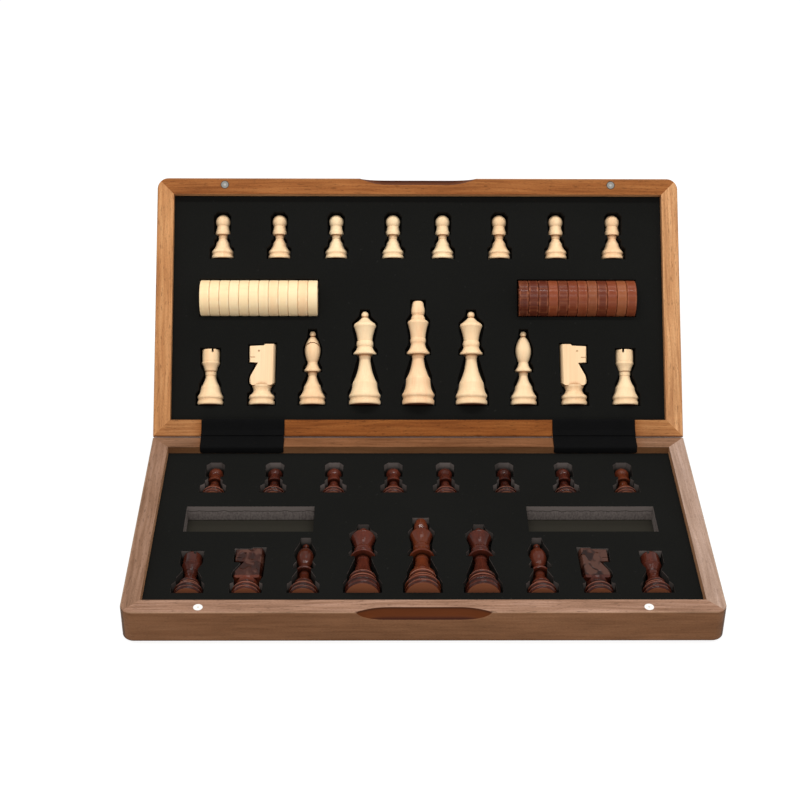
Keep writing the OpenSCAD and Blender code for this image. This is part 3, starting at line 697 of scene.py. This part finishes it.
@dataclass(frozen=True)
class DraughtFinish:
    """Wood of the draughts: each disc is cut from another place in the board; painted highlights on its
    edges.
    """

    name: str
    tones: tuple[Colour, Colour, Colour]
    # rim: the colour of painted highlights on the discs' rounded edges.
    rim: Colour
    seam: Colour
    row_x: float
    roughness: float
    gloss: float
    pitch: float = 7.1 * MM
    count: int = 12
    rim_highlight_from: Span = (0.26, 0.42)
    seam_from: Span = (0.46, 0.5)

    def material(self, tray: TrayFrame) -> bpy.types.Material:
        """Builds the wood of one row of draughts."""
        g = Graph(self.name)
        x, v, z = g.split(tray.coordinates(g))
        place = (x - (self.row_x - self.count * self.pitch / 2)) / self.pitch
        number = g.maths("FLOOR", place)
        within = g.maths("FRACT", place)
        pick, other = g.random(number, 0.37), g.random(number, 7.81)
        at = g.vector(x * 40 + number * 3.1, v * 500 + other * 9, z * 500)
        band = g.noise(at, 1.0, 3.0)
        figure = g.noise(g.vector(x * 420 + number * 5.7, v * 40, z * 40), 1.0, 2.0)
        colour = g.mix(pick, self.tones[0], self.tones[1])
        colour = g.mix(g.clamp((other - 0.55) * 1.5 + (figure - 0.5) * 0.8), colour, self.tones[2])
        colour = g.mix(g.clamp((band - 0.5) * 1.2), colour, self.tones[2])
        edge = abs(within - 0.5)
        # Painted highlights: patches of the rim colour along each disc's rounded edges.
        gleam = g.clamp((g.noise(g.vector(number * 3.3, v * 210, z * 210), 1.0, 2.0) - 0.42) * 4)
        colour = g.mix(g.step(edge, *self.rim_highlight_from) * gleam * 0.8, colour, self.rim)
        seam = g.step(edge, *self.seam_from) * (0.25 + 0.6 * pick)
        colour = g.mix(seam, colour, self.seam)
        return g.surface(
            Base_Color=colour,
            Roughness=g.clamp(self.roughness + (band - 0.5) * 0.25),
            Normal=g.bump(band, 0.08 * MM, 0.4),
            Specular_IOR_Level=self.gloss,
        )


@dataclass(frozen=True)
class FeltFinish:
    """Pressed black felt."""

    name: str = "felt"
    colour: Colour = (0.0034, 0.0034, 0.0035)

    def material(self) -> bpy.types.Material:
        """Builds the felt."""
        g = Graph(self.name)
        at = g.add("TexCoord", None, None, output="Object")
        fibre = g.noise(at, 1500.0, 4.0, distortion=1.2)
        cloud = g.noise(at, 60.0, 2.0)
        level = g.clamp(fibre * 0.7 + cloud * 0.5 - 0.1)
        colour = g.mix(level, self.colour, shaded(self.colour, 2.0))
        return g.surface(
            Base_Color=colour,
            Roughness=g.clamp(0.9 + fibre * 0.08),
            Normal=g.bump(fibre, 0.25 * MM, 0.7),
            Specular_IOR_Level=0.02,
        )


@dataclass(frozen=True)
class MetalFinish:
    """Plated or bare metal with fine polishing marks."""

    name: str
    colour: Colour
    roughness: float

    def material(self) -> bpy.types.Material:
        """Builds the metal."""
        g = Graph(self.name)
        at = g.add("TexCoord", None, None, output="Object")
        marks = g.noise(at, 2600.0, 2.0)
        dull = g.noise(at, 420.0, 2.0)
        return g.surface(
            Base_Color=g.mix(dull * 0.5, self.colour, shaded(self.colour, 0.8)),
            Roughness=g.clamp(self.roughness + (dull - 0.5) * 0.2),
            Metallic=1.0,
            Normal=g.bump(marks, 0.02 * MM, 0.4),
        )


@dataclass(frozen=True)
class MagnetFinish:
    """Plated magnet: a spot of another colour in the middle and a dark joint round it."""

    name: str
    plate: Colour
    spot: Colour
    joint: Colour
    metal: float
    x: float = 141 * MM
    inset: float = 5 * MM
    spot_r: Span = (1.2 * MM, 0.6 * MM)
    joint_r: Span = (2.35 * MM, 2.75 * MM)

    def material(self, tray: TrayFrame) -> bpy.types.Material:
        """Builds the magnets of one half."""
        g = Graph(f"{self.name}_{tray.name}")
        at = tray.coordinates(g)
        x, v, _ = g.split(at)
        dx = abs(x) - self.x
        dv = tray.from_free_edge(v) - self.inset
        away = g.maths("SQRT", dx * dx + dv * dv)
        scratch = g.noise(at, 900.0, 3.0)
        worn = g.step(away + (scratch - 0.5) * 0.001, *self.spot_r)
        colour = g.mix(worn, self.plate, self.spot)
        return g.surface(
            Base_Color=g.mix(g.step(away, *self.joint_r), colour, self.joint),
            Roughness=g.clamp(0.35 + scratch * 0.2),
            Metallic=self.metal,
            Specular_IOR_Level=0.1,
        )


# ------------------------------------------------------------- sub-assemblies


def dress(node: bpy.types.Object, material: bpy.types.Material) -> None:
    """Gives a CAD node its finish.

    Args:
        node: the CAD node's object.
        material: the finish.
    """
    if not node.material_slots:
        node.data.materials.append(material)
    for slot in node.material_slots:
        slot.material = material
    LOG.info("dressed %s in %s", node.name, material.name)


@dataclass
class Tray:
    """One half of the box: four mitred rails, a board panel and pale squares."""

    frame: TrayFrame
    nodes: Mapping[str, bpy.types.Object]
    wood: WoodFinish
    tones: Mapping[Rail, RailTintAndShade]
    board: BoardFinish
    squares: BoardFinish

    def dress(self) -> None:
        """Dresses the wooden pieces."""
        for rail in Rail:
            dress(self.nodes[f"{self.frame.name}_{rail.value}_rail"],
                  self.wood.material(self.frame, rail, self.tones[rail]))
        dress(self.nodes[f"{self.frame.name}_panel"], self.board.material(self.frame))
        dress(self.nodes[f"{self.frame.name}_pale_squares"], self.squares.material(self.frame))


@dataclass
class Insert:
    """The foam of one half and the men that lie in it."""

    frame: TrayFrame
    nodes: Mapping[str, bpy.types.Object]
    colour: str
    foam: FoamFinish
    men: MenFinish

    def dress(self) -> None:
        """Dresses the foam and every man in it."""
        dress(self.nodes[f"{self.frame.name}_foam"], self.foam.material(self.frame))
        wood = self.men.material(self.frame)
        for name in sorted(self.nodes):
            if name.startswith(self.colour + "_") and not name.endswith("draughts"):
                dress(self.nodes[name], wood)


@dataclass
class Draughts:
    """The two rows of draughts in the lid."""

    frame: TrayFrame
    nodes: Mapping[str, bpy.types.Object]
    finishes: Mapping[str, DraughtFinish]

    def dress(self) -> None:
        """Dresses both rows."""
        for name, finish in self.finishes.items():
            dress(self.nodes[name], finish.material(self.frame))


@dataclass
class Fittings:
    """Magnets, hinges and the felt straps that cover the hinges."""

    base: TrayFrame
    lid: TrayFrame
    nodes: Mapping[str, bpy.types.Object]
    strap_x: float = 125.7 * MM
    strap_w: float = 59.6 * MM
    strap_t: float = 0.6 * MM
    rail: float = RAIL_T
    depth: float = HALF_DEPTH
    knuckle: float = 2.9 * MM
    foam_z: float = -5.2 * MM
    columns: int = 16
    ripple: float = 0.10 * MM
    felt: FeltFinish = field(default_factory=FeltFinish)

    def dress_metal(self) -> None:
        """Dresses the magnets, leaves, pins and screws."""
        # Painted light and shade: the base's and the lid's magnets are lit and shaded copies of one
        # plated magnet.
        lit_magnets = MagnetFinish("lit_magnet", (0.93, 0.92, 0.90), (0.70, 0.66, 0.58),
                              (0.80, 0.77, 0.72), 0.2)
        dull = MagnetFinish("shaded_magnet", (0.25, 0.24, 0.22), (0.42, 0.41, 0.38),
                            (0.06, 0.04, 0.025), 0.0)
        dress(self.nodes["base_magnets"], lit_magnets.material(self.base))
        dress(self.nodes["lid_magnets"], dull.material(self.lid))
        dress(self.nodes["hinge_pins"], MetalFinish("pin_steel", (0.7, 0.69, 0.66), 0.28).material())
        brass = MetalFinish("hinge_brass", (0.62, 0.44, 0.20), 0.35).material()
        for half in ("base", "lid"):
            for part in ("leaves", "screws"):
                dress(self.nodes[f"{half}_hinge_{part}"], brass)

    def strap_line(self) -> list[Vector]:
        """The line that the middle of a strap follows, from the base's foam to the lid's.

        Returns:
            Points at x = 0, in the row frame.
        """
        top = self.strap_t * 0.25
        corner = [(0.0, self.foam_z), (0.0, -3.2 * MM), (0.0, -1.4 * MM),
                  (0.25 * MM, -0.45 * MM), (1.0 * MM, top)]
        edge = corner + [(d * MM, top) for d in (2.4, 4.2, 6.0, 7.6, 8.8)]
        base_wall = self.depth - self.rail - self.strap_t
        lid_wall = self.rail + self.strap_t
        pin = self.lid.place(0.0, -PIN_OFF, PIN_OFF)
        opening = (self.base.place(0, 0, 1) - self.base.origin).angle(
            self.lid.place(0, 0, 1) - self.lid.origin)
        over = []
        for share in (0.12, 0.31, 0.5, 0.69, 0.88):
            turn = Matrix.Rotation(opening * share, 3, "X")
            over.append(pin + turn @ Vector((0.0, 0.0, self.knuckle)))
        return ([self.base.place(0, base_wall + d, z) for d, z in edge] + over
                + [self.lid.place(0, lid_wall - d, z) for d, z in reversed(edge)])

    def strap(self, side: int, felt: bpy.types.Material) -> bpy.types.Object:
        """Builds one felt strap over a hinge.

        Args:
            side: -1 for the left strap, 1 for the right.
            felt: its material.

        Returns:
            The strap.
        """
        line = self.strap_line()
        name = "strap_left" if side < 0 else "strap_right"
        mesh = bmesh.new()
        rows = []
        for i, point in enumerate(line):
            ahead = line[min(i + 1, len(line) - 1)] - line[max(i - 1, 0)]
            normal = Vector((1, 0, 0)).cross(ahead).normalized()
            row = []
            for j in range(self.columns + 1):
                share = j / self.columns
                across = (share - 0.5) * self.strap_w
                ripple = self.ripple * math.sin(37.0 * share + 1.7 * i + side)
                row.append(mesh.verts.new(point + normal * ripple
                                          + Vector((side * self.strap_x + across, 0, 0))))
            rows.append(row)
        for lower, upper in zip(rows, rows[1:]):
            for j in range(self.columns):
                mesh.faces.new((lower[j], lower[j + 1], upper[j + 1], upper[j]))
        data = bpy.data.meshes.new(name)
        mesh.to_mesh(data)
        mesh.free()
        strap = bpy.data.objects.new(name, data)
        bpy.context.scene.collection.objects.link(strap)
        self._thicken(strap)
        strap.data.materials.append(felt)
        for face in strap.data.polygons:
            face.use_smooth = True
        length = sum((b - a).length for a, b in zip(line, line[1:]))
        start = self.base.place(0, self.depth - 3.4 * MM, 0)
        end = self.lid.place(0, 3.4 * MM, 0)
        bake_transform(strap)
        LOG.info("built %s, %.1f mm long", name, length / MM)
        return strap

    def _thicken(self, strap: bpy.types.Object) -> None:
        """Gives the strap its thickness and rounds its run, and applies both."""
        solid = strap.modifiers.new("thickness", "SOLIDIFY")
        solid.thickness = self.strap_t
        solid.offset = 0.0
        smooth = strap.modifiers.new("round", "SUBSURF")
        smooth.levels = smooth.render_levels = 1
        depsgraph = bpy.context.evaluated_depsgraph_get()
        final = bpy.data.meshes.new_from_object(strap.evaluated_get(depsgraph))
        strap.modifiers.clear()
        strap.data = final

    def build_straps(self) -> None:
        """Builds both straps, which stand for the covers on each half."""
        felt = self.felt.material()
        left, right = self.strap(-1, felt), self.strap(1, felt)
        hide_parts("base_hinge_felt", "lid_hinge_felt")
        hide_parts("base_hinge_felt", "lid_hinge_felt")


# -------------------------------------------------------------------- studio


@dataclass(frozen=True)
class Lamp:
    """A softbox that points at the box. Lengths are in metres."""

    name: str
    place: Place
    size: Span
    watts: float
    aim: Place = (0.0, 0.05, 0.06)

    def hang(self) -> None:
        """Adds the lamp to the scene."""
        data = bpy.data.lights.new(self.name, "AREA")
        data.shape = "RECTANGLE"
        data.size, data.size_y = self.size
        data.energy = self.watts
        lamp = bpy.data.objects.new(self.name, data)
        lamp.location = self.place
        ahead = Vector(self.aim) - Vector(self.place)
        lamp.rotation_euler = ahead.to_track_quat("-Z", "Y").to_euler()
        bpy.context.scene.collection.objects.link(lamp)


LAMPS = (
    Lamp("softbox_front", (-0.05, -0.75, 1.25), (0.9, 0.36), 5.2),
    Lamp("strip", (0.0, 0.05, 1.35), (1.6, 0.022), 9.0),
    Lamp("softbox_back", (0.1, 0.65, 1.2), (0.7, 0.2), 2.0),
    Lamp("softbox_low", (0.0, -1.3, 0.35), (1.2, 0.4), 2.4),
)


@dataclass
class Studio:
    """The floor, the lamps and the camera. Lengths are in metres, the lens in millimetres."""

    eye: Place = (-0.02655, -0.89190, 0.71470)
    yaw: float = 0.758
    pitch: float = 33.72
    roll: float = 0.451
    lens: float = 75.70
    sensor: float = 36.0
    clip: Span = (0.02, 20.0)
    sky: float = 0.44
    floor_reach: float = 4.0
    floor_z: float = -0.2 * MM
    floor_white: Colour = (0.80, 0.80, 0.80)
    floor_shade: Colour = (0.32, 0.32, 0.32)
    floor_glow: float = 0.80

    def set_camera(self) -> None:
        """Puts the camera where the photograph was taken."""
        yaw, pitch, roll = (math.radians(a) for a in (self.yaw, self.pitch, self.roll))
        ahead = Vector((math.sin(yaw) * math.cos(pitch), math.cos(yaw) * math.cos(pitch),
                        -math.sin(pitch)))
        level = Vector((math.cos(yaw), -math.sin(yaw), 0.0))
        above = level.cross(ahead)
        right = math.cos(roll) * level + math.sin(roll) * above
        up = -math.sin(roll) * level + math.cos(roll) * above
        data = bpy.data.cameras.new("camera")
        data.lens = self.lens
        data.sensor_width = self.sensor
        data.sensor_fit = "HORIZONTAL"
        data.clip_start, data.clip_end = self.clip
        camera = bpy.data.objects.new("camera", data)
        turn = Matrix((right, up, -ahead)).transposed().to_4x4()
        camera.matrix_world = Matrix.Translation(Vector(self.eye)) @ turn
        bpy.context.scene.collection.objects.link(camera)
        bpy.context.scene.camera = camera

    def seen(self, graph: Graph) -> Wire:
        """1 for rays that come from the camera or a mirror or glass, else 0."""
        kinds = ("Is Camera Ray", "Is Glossy Ray", "Is Transmission Ray")
        rays = [graph.add("LightPath", None, None, output=kind) for kind in kinds]
        return graph.clamp(rays[0] + rays[1] + rays[2])

    def lay_floor(self) -> None:
        """Lays a white floor that keeps a soft shadow."""
        mesh = bmesh.new()
        far = self.floor_reach
        corners = [(-far, -far), (far, -far), (far, far), (-far, far)]
        mesh.faces.new([mesh.verts.new((x, y, self.floor_z)) for x, y in corners])
        data = bpy.data.meshes.new("floor")
        mesh.to_mesh(data)
        mesh.free()
        floor = bpy.data.objects.new("floor", data)
        bpy.context.scene.collection.objects.link(floor)
        g = Graph("floor_white")
        matt = g.add("BsdfDiffuse", None, {"Color": (*self.floor_white, 1.0)})
        glow = g.add("Emission", None, {"Color": (1, 1, 1, 1), "Strength": self.floor_glow})
        faint = g.add("BsdfDiffuse", None, {"Color": (*self.floor_shade, 1.0)})
        white = g.add("AddShader", None, {0: glow, 1: faint})
        floor.data.materials.append(
            g.finish(g.add("MixShader", None, {0: self.seen(g), 1: matt, 2: white})))

    def light_sky(self) -> None:
        """Gives the room an even light and a white backdrop."""
        g = Graph("room", world=True)
        seen = self.seen(g)
        strength = seen + (1 - seen) * self.sky
        light = g.add("Background", None, {"Color": (1, 1, 1, 1), "Strength": strength})
        bpy.context.scene.world = g.finish(light)

    def build(self) -> None:
        """Sets the room, lamps, camera and view."""
        self.lay_floor()
        self.light_sky()
        for lamp in LAMPS:
            lamp.hang()
        self.set_camera()
        bpy.context.scene.view_settings.view_transform = "Standard"
        LOG.info("studio is set")


# ------------------------------------------------------------------- the box


LID_WOOD = WoodFinish("walnut", (0.62, 0.33, 0.155), (0.50, 0.24, 0.103), (0.34, 0.145, 0.058))
LID_TINTS_AND_SHADE = {
    Rail.FRONT: RailTintAndShade((0.58, 0.41, 0.25), (0.35, 0.28, 0.24), (1.2, 1.2, 1.2), 0.15),
    Rail.BACK: RailTintAndShade((0.46, 0.29, 0.135), (0.4, 0.25, 0.14), (0.5, 0.5, 0.5),
                        ends=(1.66, 2.3, 4.0)),
    Rail.LEFT: RailTintAndShade((0.98, 0.92, 0.82), (0.35, 0.32, 0.30), (1.2, 1.2, 1.2)),
    Rail.RIGHT: RailTintAndShade((1.12, 1.14, 1.14), (0.35, 0.32, 0.30), (1.2, 1.2, 1.2)),
}
# Painted shade: the base's walnut is the lid's walnut made darker.
BASE_WOOD_SHADED = WoodFinish("walnut", (0.40, 0.205, 0.102), (0.31, 0.150, 0.069), (0.20, 0.088, 0.037))
BASE_TINTS_AND_SHADE = {
    Rail.FRONT: RailTintAndShade((1.04, 1.19, 1.66), (0.61, 0.57, 0.57), (1.6, 1.7, 1.8), 0.08),
    Rail.BACK: RailTintAndShade((0.62, 0.53, 0.48), (0.6, 0.55, 0.5), (0.6, 0.55, 0.5),
                        ends=(1.2, 1.5, 2.0)),
    Rail.LEFT: RailTintAndShade((0.83, 0.94, 1.25), (0.35, 0.34, 0.33), (1.6, 1.7, 1.9), 0.2),
    Rail.RIGHT: RailTintAndShade((1.32, 1.80, 2.9), (0.35, 0.34, 0.33), (1.6, 1.7, 1.9), 0.2,
                         figure=0.6),
}
DARK_BOARD = BoardFinish("walnut_veneer", (0.30, 0.145, 0.065), (0.16, 0.07, 0.03))
PALE_BOARD = BoardFinish("maple_veneer", (0.80, 0.62, 0.40), (0.66, 0.46, 0.27))
BOXWOOD = MenFinish(
    "boxwood", pale=(1.0, 0.755, 0.465), deep=(0.93, 0.60, 0.335), blush=(0.92, 0.49, 0.265),
    sole=(0.17, 0.052, 0.024), groove_shade=(0.50, 0.23, 0.09), ridge_highlight=(1.0, 0.82, 0.56),
    roughness=0.45, gloss=0.15, foot_v=23.9 * MM, pawn_v=132.0 * MM, turning=0.0, carving=0.0)
ROSEWOOD = MenFinish(
    "rosewood", pale=(0.100, 0.021, 0.011), deep=(0.026, 0.006, 0.004), blush=(0.28, 0.058, 0.013),
    sole=(0.28, 0.095, 0.044), groove_shade=(0.008, 0.002, 0.001), ridge_highlight=(0.42, 0.18, 0.12),
    roughness=0.12, gloss=0.13, foot_v=26.2 * MM, pawn_v=132.5 * MM, turning=0.7, carving=0.5)
PALE_ROW = DraughtFinish(
    "boxwood_draughts", tones=((1.0, 0.77, 0.46), (0.99, 0.74, 0.42), (0.96, 0.62, 0.34)),
    rim=(1.0, 0.82, 0.54), seam=(0.74, 0.46, 0.24), row_x=-ROW_X, roughness=0.45, gloss=0.15)
DARK_ROW = DraughtFinish(
    "rosewood_draughts", tones=((0.24, 0.056, 0.022), (0.10, 0.022, 0.012), (0.34, 0.115, 0.045)),
    rim=(0.34, 0.11, 0.05), seam=(0.02, 0.006, 0.004), row_x=ROW_X, roughness=0.22, gloss=0.11)


def tray_frames(hinge: Mapping[str, object]) -> tuple[TrayFrame, TrayFrame]:
    """Finds where both halves lie at rest.

    Args:
        hinge: the frame's record of the box's hinge.

    Returns:
        The base's frame and the lid's.
    """
    lean = math.radians(180.0 + hinge["range_deg"][0])
    tilt = Matrix.Rotation(lean, 3, "X")
    corner = Vector(hinge["pos_m"]) + tilt @ Vector((0.0, PIN_OFF, -PIN_OFF))
    base = TrayFrame("base", Vector((0.0, -HALF_DEPTH / 2, HALF_H)), 0.0, False)
    return base, TrayFrame("lid", corner, lean, True)


def main() -> None:
    """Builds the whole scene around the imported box."""
    logging.basicConfig(level=logging.INFO, format="%(name)s: %(message)s")
    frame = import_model()
    nodes = frame["nodes"]
    LOG.info("%d CAD nodes", len(nodes))
    base, lid = tray_frames(next(j for j in frame["joints"] if j["name"] == "box_hinge"))
    foam = FoamFinish()
    Tray(base, nodes, BASE_WOOD_SHADED, BASE_TINTS_AND_SHADE, DARK_BOARD, PALE_BOARD).dress()
    Tray(lid, nodes, LID_WOOD, LID_TINTS_AND_SHADE, DARK_BOARD, PALE_BOARD).dress()
    Insert(base, nodes, "dark", foam, ROSEWOOD).dress()
    Insert(lid, nodes, "light", foam, BOXWOOD).dress()
    Draughts(lid, nodes, {"light_draughts": PALE_ROW, "dark_draughts": DARK_ROW}).dress()
    fittings = Fittings(base, lid, nodes)
    fittings.dress_metal()
    fittings.build_straps()
    Studio().build()


if __name__ == "__main__":
    main()
